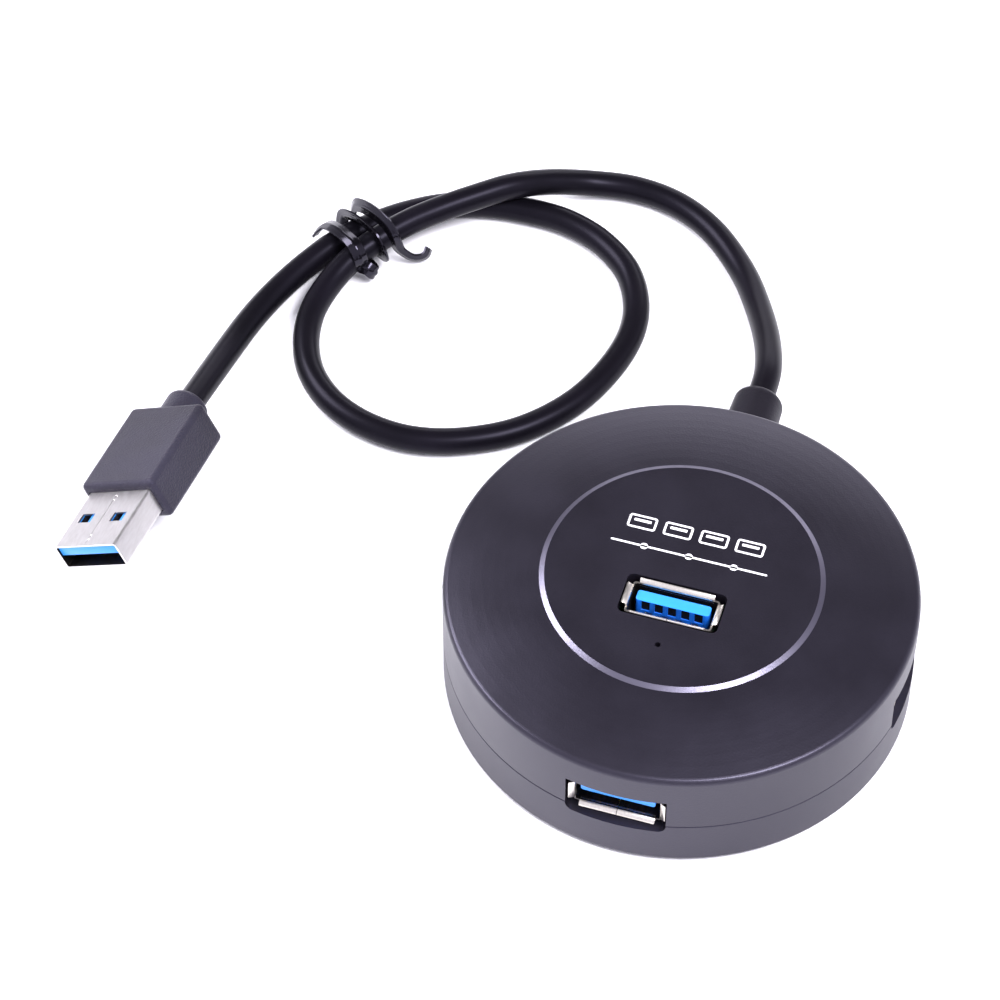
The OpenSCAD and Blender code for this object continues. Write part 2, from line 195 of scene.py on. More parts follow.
def flattenShading(piece):
    # big flat faces keep their own direction, and only the rounded edges blend
    addModifier(piece, "WEIGHTED_NORMAL", keep_sharp=True, weight=80)


def copyOf(piece):
    twin = piece.copy()
    twin.data = piece.data.copy()
    bpy.context.scene.collection.objects.link(twin)
    return twin


def giveSlots(piece, materials, pick=None):
    # several materials on one piece; pick gives each face its number
    for material in materials:
        piece.data.materials.append(material)
    if pick is not None:
        for face in piece.data.polygons:
            face.material_index = pick(face)


def facesInward(face):
    return face.center.x * face.normal.x + face.center.z * face.normal.z < -0.1


def putInPlace(piece, name, material, matrix, stands):
    # from its own millimetre frame to its place on the hub, in metres
    letGo()
    piece.name = name
    piece.data.name = name
    piece.data.transform(matrix @ Matrix.Scale(mm, 4))
    if material is not None:
        paint(piece, material)
    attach(piece, "root")
    if stands:
        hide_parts(*stands)
    return piece


# camera first, then the floor and the light

cameraSetup = {"target": (-0.0347, 0.0224, 0.0004), "distance": 0.620, "azimuth": 17.14,
               "elevation": 51.38, "lens": 144.07}

turnAngle, riseAngle = math.radians(cameraSetup["azimuth"]), math.radians(cameraSetup["elevation"])
backward = Vector((math.sin(turnAngle) * math.cos(riseAngle), -math.cos(turnAngle) * math.cos(riseAngle),
                   math.sin(riseAngle)))
bpy.ops.object.camera_add(location=Vector(cameraSetup["target"]) + cameraSetup["distance"] * backward,
                          rotation=(math.pi / 2 - riseAngle, 0, turnAngle))
camera = bpy.context.object
camera.data.lens = cameraSetup["lens"]
camera.data.sensor_width = 36
camera.data.clip_start = 0.01
camera.data.clip_end = 20
bpy.context.scene.camera = camera
bpy.context.scene.view_settings.view_transform = "Standard"
print("camera placed")

floorSetup = {"size": 6.0, "colour": "#f7f7f8", "roughness": 0.9}

bpy.ops.mesh.primitive_plane_add(size=floorSetup["size"], location=(0, 0, 0))
floor = settle(bpy.context.object, "paperFloor")
paperMaterial, tree, shader = startMaterial("mattePaper", Roughness=floorSetup["roughness"])
shader.inputs["Specular IOR Level"].default_value = 0.0  # a sheet of matte paper has no shine
coordinates = addNode(tree, "TexCoord")
fibre = addNode(tree, "TexNoise", {"Scale": 900.0, "Detail": 3.0}, {"Vector": coordinates.outputs["Object"]})
fibreTone = addNode(tree, "ValToRGB", links={"Fac": fibre.outputs["Fac"]})
fibreTone.color_ramp.elements[0].color = linearColour("#f5f5f6")
fibreTone.color_ramp.elements[1].color = linearColour(floorSetup["colour"])
tree.links.new(fibreTone.outputs["Color"], shader.inputs["Base Color"])
paint(floor, paperMaterial)

# a white tent with a dim patch high at the back, which the flat top mirrors
tentSetup = {"bright": 1.35, "dim": 0.14, "colour": "#f3f0ff", "dimAzimuth": 198, "dimElevation": 55,
             "innerAngle": 30, "outerAngle": 68}

world = bpy.data.worlds.new("whiteTent")
world.use_nodes = True
bpy.context.scene.world = world
tree = world.node_tree
tree.nodes.clear()
tentDirection = addNode(tree, "TexCoord")
dimAround, dimUp = math.radians(tentSetup["dimAzimuth"]), math.radians(tentSetup["dimElevation"])
tentAlong = addNode(tree, "VectorMath", {1: (math.sin(dimAround) * math.cos(dimUp),
                                             -math.cos(dimAround) * math.cos(dimUp), math.sin(dimUp))},
                    {0: tentDirection.outputs["Generated"]}, operation="DOT_PRODUCT")
tentBand = addNode(tree, "MapRange", {"From Min": math.cos(math.radians(tentSetup["outerAngle"])),
                                      "From Max": math.cos(math.radians(tentSetup["innerAngle"])),
                                      "To Min": tentSetup["bright"], "To Max": tentSetup["dim"]},
                   {"Value": tentAlong.outputs["Value"]}, interpolation_type="SMOOTHSTEP")
tentGlow = addNode(tree, "Background", {"Color": linearColour(tentSetup["colour"])},
                   {"Strength": tentBand.outputs["Result"]})
addNode(tree, "OutputWorld", links={"Surface": tentGlow.outputs["Background"]})

softBoxes = [
    {"name": "keyBox", "azimuth": 62, "elevation": 62, "distance": 0.9, "size": (0.42, 0.3), "power": 11.5},
    {"name": "leftBox", "azimuth": -95, "elevation": 42, "distance": 0.9, "size": (0.5, 0.36), "power": 10.0},
    {"name": "backBox", "azimuth": 185, "elevation": 22, "distance": 1.0, "size": (0.9, 0.2), "power": 3.0},
]
for box in softBoxes:
    around, up = math.radians(box["azimuth"]), math.radians(box["elevation"])
    towards = Vector((math.sin(around) * math.cos(up), -math.cos(around) * math.cos(up), math.sin(up)))
    bpy.ops.object.light_add(type="AREA", location=towards * box["distance"],
                             rotation=towards.to_track_quat("Z", "Y").to_euler())
    lamp = bpy.context.object
    lamp.name = box["name"]
    lamp.data.shape = "RECTANGLE"
    lamp.data.size, lamp.data.size_y = box["size"]
    lamp.data.energy = box["power"]
    lamp.data.color = linearColour("#faf8ff")[:3]
print("floor and light ready")

# the lavender colour of the light, painted into the plastics' reflections as a specular tint: painted reflection colour
paintedLavenderSheen = "#e4dffc"


def mouldedPlastic(name, colour, lighter, roughness, grit, depth, ior=1.5, sheenSpread=0.06, shine=0.5):
    # injection moulded: fine tool texture, and the gloss wanders a little with the flow
    material, tree, shader = startMaterial(name, IOR=ior, Roughness=roughness, Specular_IOR_Level=shine,
                                           Specular_Tint=linearColour(paintedLavenderSheen))
    where = addNode(tree, "TexCoord")
    cloud = addNode(tree, "TexNoise", {"Scale": 90.0, "Detail": 4.0}, {"Vector": where.outputs["Object"]})
    tone = addNode(tree, "ValToRGB", links={"Fac": cloud.outputs["Fac"]})
    tone.color_ramp.elements[0].position, tone.color_ramp.elements[1].position = 0.3, 0.7
    tone.color_ramp.elements[0].color = linearColour(colour)
    tone.color_ramp.elements[1].color = linearColour(lighter)
    tree.links.new(tone.outputs["Color"], shader.inputs["Base Color"])
    gloss = addNode(tree, "MapRange", {"To Min": roughness - sheenSpread, "To Max": roughness + sheenSpread},
                    {"Value": cloud.outputs["Fac"]})
    tree.links.new(gloss.outputs["Result"], shader.inputs["Roughness"])
    texture = addNode(tree, "TexNoise", {"Scale": 1 / grit, "Detail": 2.0, "Roughness": 0.6},
                      {"Vector": where.outputs["Object"]})
    relief = addNode(tree, "Bump", {"Strength": 0.5, "Distance": depth}, {"Height": texture.outputs["Fac"]})
    tree.links.new(relief.outputs["Normal"], shader.inputs["Normal"])
    return material


def platedMetal(name, colour, darker, roughness, grain, depth):
    # pressed sheet with a plated skin: faint rolling marks and cloudy gloss
    material, tree, shader = startMaterial(name, Metallic=1.0, Roughness=roughness)
    where = addNode(tree, "TexCoord")
    stretch = addNode(tree, "Mapping", {"Scale": (1.0, 0.25, 1.0)}, {"Vector": where.outputs["Object"]})
    marks = addNode(tree, "TexNoise", {"Scale": 1 / grain, "Detail": 5.0}, {"Vector": stretch.outputs["Vector"]})
    tone = addNode(tree, "ValToRGB", links={"Fac": marks.outputs["Fac"]})
    tone.color_ramp.elements[0].position, tone.color_ramp.elements[1].position = 0.25, 0.75
    tone.color_ramp.elements[0].color = linearColour(darker)
    tone.color_ramp.elements[1].color = linearColour(colour)
    tree.links.new(tone.outputs["Color"], shader.inputs["Base Color"])
    gloss = addNode(tree, "MapRange", {"To Min": roughness * 0.75, "To Max": roughness * 1.3},
                    {"Value": marks.outputs["Fac"]})
    tree.links.new(gloss.outputs["Result"], shader.inputs["Roughness"])
    relief = addNode(tree, "Bump", {"Strength": 0.35, "Distance": depth}, {"Height": marks.outputs["Fac"]})
    tree.links.new(relief.outputs["Normal"], shader.inputs["Normal"])
    return material


# ABS, spark-eroded tool: satin black with a slight violet cast
casingAbs = mouldedPlastic("satinAbsUpper", "#110f15", "#15131a", 0.36, 0.0003, 0.00003, 1.53)
# a painted highlight on the bevel round the raised disc: more shine and a higher IOR just there
lidBevel = {"inner": 20.13, "outer": 20.93, "level": 21.9}
tree = casingAbs.node_tree
shader = tree.nodes["Principled BSDF"]
where = addNode(tree, "TexCoord")
apart = addNode(tree, "SeparateXYZ", links={"Vector": where.outputs["Object"]})
flatPlace = addNode(tree, "CombineXYZ", links={"X": apart.outputs["X"], "Y": apart.outputs["Y"]})
radius = addNode(tree, "VectorMath", links={0: flatPlace.outputs["Vector"]}, operation="LENGTH")
pastInner = addNode(tree, "Math", {1: lidBevel["inner"] * mm}, {0: radius.outputs["Value"]}, operation="GREATER_THAN")
beforeOuter = addNode(tree, "Math", {1: lidBevel["outer"] * mm}, {0: radius.outputs["Value"]}, operation="LESS_THAN")
highUp = addNode(tree, "Math", {1: lidBevel["level"] * mm}, {0: apart.outputs["Z"]}, operation="GREATER_THAN")
ringHere = addNode(tree, "Math", links={0: pastInner.outputs["Value"], 1: beforeOuter.outputs["Value"]},
                   operation="MULTIPLY")
ringMask = addNode(tree, "Math", links={0: ringHere.outputs["Value"], 1: highUp.outputs["Value"]}, operation="MULTIPLY")
# painted highlight: the ring's specular level and IOR are raised
ringPaintedHighlight = addNode(tree, "MapRange", {"To Min": 0.5, "To Max": 1.0}, {"Value": ringMask.outputs["Value"]})
tree.links.new(ringPaintedHighlight.outputs["Result"], shader.inputs["Specular IOR Level"])
ringHighlightIor = addNode(tree, "MapRange", {"To Min": 1.53, "To Max": 1.85}, {"Value": ringMask.outputs["Value"]})
tree.links.new(ringHighlightIor.outputs["Result"], shader.inputs["IOR"])
# the lower shell's colour is set a little lighter than the upper shell's: painted light
lowerAbsPaintedLighter = mouldedPlastic("satinAbsLower", "#16141a", "#1a181f", 0.40, 0.0003, 0.00003, 1.53)
# nickel over steel: dull on the sockets, brighter on the plug
socketNickel = platedMetal("dullNickelSteel", "#dcd7ce", "#c9c4bb", 0.3, 0.0003, 0.000002)
plugNickel = platedMetal("brightNickelSteel", "#d2d0cf", "#c4c1bf", 0.36, 0.0004, 0.000003)
# dark steel for the shells' inner faces: painted shade inside the cavities
insideShadeSteel = platedMetal("steelWithPaintedShade", "#3a3836", "#262524", 0.5, 0.0003, 0.000004)
# PBT in the blue that marks the fast sockets: waxy, slightly soft gloss
bluePbt = mouldedPlastic("bluePbt", "#1668dc", "#1f76ea", 0.34, 0.0004, 0.000008, 1.55)
# a lighter copy of the blue for faces that catch the light: painted light
bluePbtLitFace = mouldedPlastic("bluePbtPaintedLight", "#2a88e4", "#3a9af0", 0.3, 0.0004, 0.000006, 1.55)
# near black, put where windows, pockets and the plug cavity should look shaded: painted shade
paintedShadeBlack = mouldedPlastic("paintedShadeBlack", "#09090b", "#0e0e10", 0.5, 0.0003, 0.000006, 1.5)
goldContact = platedMetal("goldFlashedBronze", "#e0b567", "#c39a4f", 0.22, 0.0006, 0.000003)
# flexible PVC, extruded glossy on the lead, matte where it is moulded round it
jacketPvc = mouldedPlastic("extrudedPvcJacket", "#0a090d", "#0e0c12", 0.34, 0.0012, 0.00001, 1.53, 0.05, 0.1)
reliefPvc = mouldedPlastic("mattePvcRelief", "#0d0b10", "#121015", 0.46, 0.00035, 0.00006, 1.53, 0.06, 0.2)
tiePvc = mouldedPlastic("glossyPvcTie", "#08070a", "#0c0b0f", 0.16, 0.0009, 0.000012, 1.53, 0.04, 0.3)
# soft overmould with a deep spark texture
plugPvc = mouldedPlastic("sparkTexturedPvc", "#15131a", "#25232e", 0.42, 0.0003, 0.00032, 1.53, 0.06, 0.33)
footRubber = mouldedPlastic("siliconeFoot", "#2b2b2d", "#343436", 0.62, 0.0005, 0.00002, 1.41)
chipEpoxy = mouldedPlastic("mouldedEpoxy", "#17171a", "#1f1f22", 0.5, 0.0002, 0.00001, 1.55)
screwSteel = platedMetal("zincSteel", "#c9ccd0", "#a9acb1", 0.3, 0.0005, 0.000004)
tinnedCopper = platedMetal("tinnedCopper", "#d5d6d8", "#b5b7ba", 0.28, 0.0005, 0.000003)
canAluminium = platedMetal("drawnAluminium", "#d8dadd", "#bfc2c6", 0.25, 0.0009, 0.000003)
solderTin = platedMetal("reflowedSolder", "#cfd1d3", "#aeb0b3", 0.18, 0.0004, 0.000006)
solderMask = mouldedPlastic("greenSolderMask", "#174a30", "#1f5f3d", 0.3, 0.0004, 0.000008, 1.5)
# each wire has its own PVC colour, told apart by where it lies across the board
wireJackets, tree, shader = startMaterial("colouredWirePvc", Roughness=0.38, IOR=1.53)
where = addNode(tree, "TexCoord")
apart = addNode(tree, "SeparateXYZ", links={"Vector": where.outputs["Object"]})
across = addNode(tree, "MapRange", {"From Min": -0.005, "From Max": 0.005}, {"Value": apart.outputs["X"]})
wireTone = addNode(tree, "ValToRGB", links={"Fac": across.outputs["Result"]})
wireTone.color_ramp.interpolation = "CONSTANT"
for place, colour in ((0.28, "#d8d8d4"), (0.4, "#2c6b3a"), (0.52, "#17171a"), (0.64, "#c9b23a"), (0.76, "#2c4f9a")):
    wireTone.color_ramp.elements.new(place).color = linearColour(colour)
wireTone.color_ramp.elements[0].color = linearColour("#a52a24")
wireTone.color_ramp.elements[-1].color = linearColour("#7a3c8c")
tree.links.new(wireTone.outputs["Color"], shader.inputs["Base Color"])
# clear epoxy, faintly blue, cast round the diode
ledEpoxy, tree, shader = startMaterial("clearLedEpoxy", Roughness=0.12, IOR=1.54, Transmission_Weight=0.85)
where = addNode(tree, "TexCoord")
haze = addNode(tree, "TexNoise", {"Scale": 260.0, "Detail": 3.0}, {"Vector": where.outputs["Object"]})
hazeTone = addNode(tree, "ValToRGB", links={"Fac": haze.outputs["Fac"]})
hazeTone.color_ramp.elements[0].color = linearColour("#d5e2f2")
hazeTone.color_ramp.elements[1].color = linearColour("#edf4fb")
tree.links.new(hazeTone.outputs["Color"], shader.inputs["Base Color"])
fuseCoat = mouldedPlastic("fuseEpoxy", "#2f6b3b", "#3a7b46", 0.45, 0.0003, 0.00001, 1.5)
print("materials ready")


leadSetup = {"diameter": 4.3, "stepsPerSpan": 8, "ringSides": 10}
# the lead's route in millimetres: out of the casing, over itself, round one loop, back over and on to its plug
leadRoute = [
    (0, 47, 8.8), (-0.4, 53.5, 8.3), (-2.6, 61.5, 6.2), (-6.5, 70.5, 3.6), (-11, 78, 2.3), (-17.5, 84.8, 2.2),
    (-24.5, 88.8, 2.2), (-32, 90.2, 2.2), (-39.2, 88.8, 2.8), (-45.6, 85.1, 4.9), (-50.6, 80.8, 6.7),
    (-55.4, 76.7, 6.9), (-60.2, 72.8, 6.5), (-64.6, 69.1, 5.7), (-68.4, 65, 4.7), (-71.5, 60.4, 3.8),
    (-73.6, 55, 2.8), (-74.4, 48.8, 2.3), (-73.2, 42.4, 2.2), (-70.2, 36.6, 2.2), (-65.2, 32, 2.2),
    (-58.6, 29.2, 2.2), (-51, 28.6, 2.2), (-43, 30.8, 2.2), (-35, 35.8, 2.2), (-28.5, 44, 2.2),
    (-24.8, 54.5, 2.2), (-24.6, 63.5, 2.2), (-28, 71.6, 2.2), (-34, 77, 2.2), (-41, 79.8, 2.2),
    (-47.8, 80.3, 2.2), (-54.4, 79.6, 2.2), (-60.7, 77.5, 2.2), (-66.2, 73.9, 2.4), (-70.9, 69.2, 2.8),
    (-75, 64.1, 2.9), (-78.4, 58.4, 2.5), (-81.2, 51.9, 2.2), (-83.2, 45, 2.2), (-84.4, 36, 3.2),
    (-85.3, 21.2, 6.4)]


def smoothLine(points, steps):
    # one smooth line through all the points (uniform Catmull-Rom, mirrored at both ends)
    corners = [Vector(p) for p in points]
    corners = [2 * corners[0] - corners[1]] + corners + [2 * corners[-1] - corners[-2]]
    line = []
    for a, b, c, d in zip(corners, corners[1:], corners[2:], corners[3:]):
        for step in range(steps):
            t = step / steps
            line.append(0.5 * (2 * b + (c - a) * t + (2 * a - 5 * b + 4 * c - d) * t * t
                               + (3 * b - a - 3 * c + d) * t ** 3))
    line.append(corners[-2])
    return line


leadLine = [p * mm for p in smoothLine(leadRoute, leadSetup["stepsPerSpan"])]
leadCurve = bpy.data.curves.new("hubLead", "CURVE")
leadCurve.dimensions = "3D"
leadCurve.bevel_depth = leadSetup["diameter"] * mm / 2
leadCurve.bevel_resolution = leadSetup["ringSides"]
leadCurve.use_fill_caps = True
leadSpline = leadCurve.splines.new("POLY")
leadSpline.points.add(len(leadLine) - 1)
for point, place in zip(leadSpline.points, leadLine):
    point.co = (*place, 1)
leadSpline.use_smooth = True
lead = bpy.data.objects.new("hubLead", leadCurve)
bpy.context.scene.collection.objects.link(lead)
leadCurve.materials.append(jacketPvc)
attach(lead, "root")
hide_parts("hub_cable")

# the twist tie: one flat ribbon with a wire in its middle, wound three times round both runs of the lead
tieSetup = {"centre": (-71.1, 65.4, 3.7), "turn": -40, "roll": 18, "reach": 2.6, "halfGap": 2.5, "ribbonWidth": 2.3,
            "ribbonThickness": 0.46, "wireThickness": 0.84, "tilt": math.pi / 2}


def roundBoth(angle, along, slack):
    # a point of the ribbon's middle line as it passes round the two runs; slack lifts it off them at the top and back
    c, s = math.cos(math.radians(angle)), math.sin(math.radians(angle))
    return ((tieSetup["reach"] + slack * (0.9 if c < 0 else 0.15)) * c + tieSetup["halfGap"] * max(-1, min(1, 1.7 * c)),
            along, (tieSetup["reach"] + (0.8 * slack if s > 0 else 0)) * s)


tiePath = [(-6.6, -5.2, 0.4), (-5.7, -4.7, 1.5)]
tiePath += [roundBoth(a, -3.9 + (130 - a) * 0.9 / 360, 0.6) for a in range(130, -40, -24)]
tiePath += [(5.6, -2.9, -1.9), (5.8, -2.2, -3.0), (4.6, -1.5, -3.3)]
tiePath += [roundBoth(a, -1.2 + (-110 - a) * 2.6 / 360, 1.0) for a in range(-110, -450, -24)]
tiePath += [roundBoth(a, 1.4 + (-470 - a) * 2.4 / 360, 1.7) for a in range(-470, -730, -24)]
tiePath += [(4.9, 3.5, -1.4), (5.1, 4.2, -2.6), (5.6, 5.1, -3.6), (6.3, 6.2, -3.9), (6.7, 7.2, -3.6), (6.4, 8.0, -2.9)]
tieLine = smoothLine(tiePath, 5)

ribbonShape = bpy.data.curves.new("ribbonShape", "CURVE")
ribbonShape.dimensions = "2D"
ribbonOutline = ribbonShape.splines.new("POLY")
w, t, c = tieSetup["ribbonWidth"] / 2, tieSetup["ribbonThickness"] / 2, tieSetup["wireThickness"] / 2
ribbonCorners = [(-w, -t * 0.6), (-w * 0.9, -t), (-w * 0.42, -t), (-w * 0.25, -c * 0.85), (0, -c),
                 (w * 0.25, -c * 0.85), (w * 0.42, -t), (w * 0.9, -t), (w, -t * 0.6)]
ribbonCorners += [(-x, -y) for x, y in ribbonCorners]
ribbonOutline.points.add(len(ribbonCorners) - 1)
for point, corner in zip(ribbonOutline.points, ribbonCorners):
    point.co = (corner[1], corner[0], 0, 1)
ribbonOutline.use_cyclic_u = True
ribbonProfile = bpy.data.objects.new("ribbonShape", ribbonShape)
bpy.context.scene.collection.objects.link(ribbonProfile)

tieCurve = bpy.data.curves.new("twistTie", "CURVE")
tieCurve.dimensions = "3D"
tieCurve.twist_mode = "MINIMUM"
tieCurve.bevel_mode = "OBJECT"
tieCurve.bevel_object = ribbonProfile
tieCurve.use_fill_caps = True
tieSpline = tieCurve.splines.new("POLY")
tieSpline.points.add(len(tieLine) - 1)
for point, place in zip(tieSpline.points, tieLine):
    point.co = (*place, 1)
    point.tilt = tieSetup["tilt"]
tie = bpy.data.objects.new("twistTie", tieCurve)
bpy.context.scene.collection.objects.link(tie)
pickOne(tie)
bpy.ops.object.convert(target="MESH")
tie = bpy.context.object
bpy.data.objects.remove(ribbonProfile)
bpy.ops.object.mode_set(mode="EDIT")
bpy.ops.mesh.select_all(action="SELECT")
bpy.ops.mesh.remove_doubles(threshold=0.0005)
bpy.ops.mesh.normals_make_consistent(inside=False)
leaveEdit()
smoothBy(tie, 50)
putInPlace(tie, "wireTwistTie", tiePvc,
           Matrix.Translation(Vector(tieSetup["centre"]) * mm) @ Matrix.Rotation(math.radians(tieSetup["turn"]), 4, "Z")
           @ Matrix.Rotation(math.radians(-tieSetup["roll"]), 4, "Y"),
           ["twist_tie"])
for corner in tie.data.vertices:
    corner.co.z = max(corner.co.z, 0.0001)  # the lowest turns lie flat on the table
print("twist tie wound")


# sockets: one folded shell and one tongue, modelled facing -Y and copied to the four places
socketSetup = {"width": 13.1, "height": 5.7, "sheet": 0.3, "depth": 13.3, "topDepth": 14.1, "cornerRadius": 0.5,
               "lipStart": 0.5, "lipRise": 0.5, "sideRise": 0.8, "lipWidth": 11.3, "sideLipWidth": 3.8,
               "lipCorner": 0.16, "edgeRound": 0.05, "seamHalf": 0.05, "springPlaces": (-3.1, 3.1), "springHalf": 0.75,
               "slotInner": 0.8, "slotOuter": 0.95, "slotStart": 4.2, "slotEnd": 8.6, "slotWidth": 0.15,
               "springSteps": ((1.1, -0.28), (1.0, 0.0), (1.2, 0.28))}


def makeLip(width, rise):
    # the mouth's edge, bent outwards in three steps
    start = socketSetup["lipStart"]
    letGo()
    bpy.ops.mesh.primitive_plane_add(size=1, location=(0, start + 0.25, 0))
    lip = bpy.context.object
    lip.scale = (width, 0.5, 1)
    bpy.ops.object.transform_apply(location=True, rotation=True, scale=True)
    for stepY, stepZ in ((-0.14, 0.05), (-0.18, rise * 0.35), (-0.18, rise * 0.55)):
        edge = min(v.co.y for v in lip.data.vertices)
        chooseEdges(lip, lambda middle, way: abs(middle.y - edge) < 1e-4 and abs(way.x) > 0.9)
        bpy.ops.mesh.extrude_region_move(TRANSFORM_OT_translate={"value": (0, stepY, stepZ)})
        leaveEdit()
    edge = min(v.co.y for v in lip.data.vertices)
    chooseCorners(lip, lambda co: abs(co.y - edge) < 1e-4)
    bpy.ops.mesh.bevel(offset=socketSetup["lipCorner"], affect="VERTICES", segments=2)
    leaveEdit()
    addModifier(lip, "SOLIDIFY", thickness=socketSetup["sheet"], offset=-1)
    softenEdges(lip, socketSetup["edgeRound"])
    return lip


def makeSocketShell(depth, openBack):
    t = socketSetup
    halfW, halfH, start = t["width"] / 2, t["height"] / 2, t["lipStart"]
    shell = addBlock((-halfW, start, -halfH), (halfW, depth, halfH))
    chooseEdges(shell, lambda middle, way: abs(way.y) > 0.9)
    bpy.ops.mesh.bevel(offset=t["cornerRadius"], segments=4)
    chooseFaces(shell, lambda centre, normal: normal.y < -0.9 or (openBack and normal.y > 0.9))
    bpy.ops.mesh.delete(type="FACE")
    leaveEdit()
    addModifier(shell, "SOLIDIFY", thickness=t["sheet"], offset=-1)
    # two spring tongues are cut free in each wide wall by a U of three narrow slots
    inner, outer, slotStart, slotEnd = t["slotInner"], t["slotOuter"], t["slotStart"], t["slotEnd"]
    for side in (1, -1):
        low, high = side * halfH - 1, side * halfH + 1
        for x in t["springPlaces"]:
            combine(shell, joinUp([addBlock((x - outer, slotStart, low), (x - inner, slotEnd, high)),
                                   addBlock((x + inner, slotStart, low), (x + outer, slotEnd, high)),
                                   addBlock((x - outer, slotStart - t["slotWidth"], low),
                                            (x + outer, slotStart, high))]))
    # the folded sheet's seam
    combine(shell, addBlock((-t["seamHalf"], 0, -halfH - 1), (t["seamHalf"], depth - 1, -halfH + 1)))
    smoothBy(shell, 35)
    flattenShading(shell)
    springs = []
    for side in (1, -1):
        for x in t["springPlaces"]:
            # each spring bows inwards to hold the plug
            spring = addBlock((x - t["springHalf"], 4.3, halfH - 0.3), (x + t["springHalf"], 5.3, halfH - 0.05))
            for stepY, stepZ in t["springSteps"]:
                far = max(v.co.y for v in spring.data.vertices)
                chooseFaces(spring, lambda centre, normal: normal.y > 0.5 and centre.y > far - 0.3)
                bpy.ops.mesh.extrude_region_move(TRANSFORM_OT_translate={"value": (0, stepY, stepZ)})
                leaveEdit()
            if side < 0:
                spring.data.transform(Matrix.Rotation(math.pi, 4, "Y"))
            softenEdges(spring, 0.04)
            springs.append(spring)
    lips = []
    for turn, reach, width in ((0, halfH, t["lipWidth"]), (180, halfH, t["lipWidth"]),
                               (90, halfW, t["sideLipWidth"]), (-90, halfW, t["sideLipWidth"])):
        lip = makeLip(width, t["lipRise" if turn in (0, 180) else "sideRise"])
        if turn == 180:
            combine(lip, addBlock((-t["seamHalf"], -1, -1), (t["seamHalf"], 2, 1)))  # the seam runs through this lip
        lip.data.transform(Matrix.Rotation(math.radians(turn), 4, "Y") @ Matrix.Translation((0, 0, reach)))
        lips.append(lip)
    shell = joinUp([shell] + springs + lips)
    # inward faces past the lip get the dark steel: painted shade
    giveSlots(shell, (socketNickel, insideShadeSteel),
              lambda face: 1 if facesInward(face) and face.center.y > start + t["sheet"] else 0)
    return shell


tongueSetup = {"width": 11.1, "thickness": 1.84, "topTip": 0.95, "sideTip": 0.5, "face": 0.01, "blockStart": 9.4,
               "edgeRadius": 0.42, "windowWidth": 1.24, "windowLength": 2.0, "windowStart": 0.12, "windowDepth": 0.45,
               "windowPlaces": (-4, -2, 0, 2, 4), "groovePlaces": (-3.5, -1, 1, 3.5), "grooveHalf": 0.5,
               "grooveStart": 2.6, "grooveDepth": 0.35, "padWidth": 1.2, "padDepth": 0.14, "padThickness": 0.08,
               "padStart": 0.14, "padEnd": 2.1, "blockHalfWidth": 6.1, "blockEnd": 12.7, "blockHalfHeight": 2.45}
tongueMaterials = (bluePbt, bluePbtLitFace, paintedShadeBlack)


def makeTongue(tip):
    t = tongueSetup
    low = t["face"]
    tongue = addBlock((-t["width"] / 2, tip, low), (t["width"] / 2, t["blockStart"] + 0.6, low + t["thickness"]))
    chooseEdges(tongue, lambda middle, way: abs(way.y) > 0.9)
    bpy.ops.mesh.bevel(offset=t["edgeRadius"], segments=4)
    leaveEdit()
    block = addBlock((-t["blockHalfWidth"], t["blockStart"], -t["blockHalfHeight"]),
                     (t["blockHalfWidth"], t["blockEnd"], t["blockHalfHeight"]))
    cutters = [addBlock((x - t["windowWidth"] / 2, tip + t["windowStart"], low - 1),
                        (x + t["windowWidth"] / 2, tip + t["windowStart"] + t["windowLength"], low + t["windowDepth"]))
               for x in t["windowPlaces"]]
    cutters += [addBlock((x - t["grooveHalf"], tip + t["grooveStart"], low - 1),
                         (x + t["grooveHalf"], t["blockStart"] + 0.1, low + t["grooveDepth"]))
                for x in t["groovePlaces"]]
    combine(tongue, joinUp(cutters))
    softenEdges(block, 0.12)
    softenEdges(tongue, 0.04)
    # contact pads lie just inside the windows, painted near black: painted shade in the windows
    padHalf, padLow, padHigh = t["padWidth"] / 2, low + t["padDepth"], low + t["padDepth"] + t["padThickness"]
    pads = [addBlock((x - padHalf, tip + t["padStart"], padLow), (x + padHalf, tip + t["padEnd"], padHigh))
            for x in t["windowPlaces"]]
    for pad in pads:
        giveSlots(pad, tongueMaterials, lambda face: 2)
    # the tip faces get the lighter blue copy: painted light
    giveSlots(tongue, tongueMaterials,
              lambda face: 1 if face.normal.y < -0.5 and face.center.y < tip + 0.1 else 0)
    return joinUp([tongue, block] + pads)


socketPlaces = {
    "top": ((0, -5.4, 22.3), -90, 0), "front": ((0, -33.4, 11), 0, 0),
    "right": ((33.4, 0, 11), 0, 90), "left": ((-33.4, 0, 11), 0, -90)}
sideShell = makeSocketShell(socketSetup["depth"], False)
topShell = makeSocketShell(socketSetup["topDepth"], True)
topTongue, sideTongue = makeTongue(tongueSetup["topTip"]), makeTongue(tongueSetup["sideTip"])
for side, (spot, tip, turn) in socketPlaces.items():
    matrix = (Matrix.Translation(Vector(spot) * mm) @ Matrix.Rotation(math.radians(turn), 4, "Z")
              @ Matrix.Rotation(math.radians(tip), 4, "X"))
    putInPlace(copyOf(topShell if side == "top" else sideShell), side + "SocketShell", None, matrix,
               [side + "_port_shell"])
    putInPlace(copyOf(topTongue if side == "top" else sideTongue), side + "SocketTongue", None, matrix,
               [side + "_port_tongue"])
for model in (sideShell, topShell, topTongue, sideTongue):
    bpy.data.objects.remove(model)
print("four sockets built")


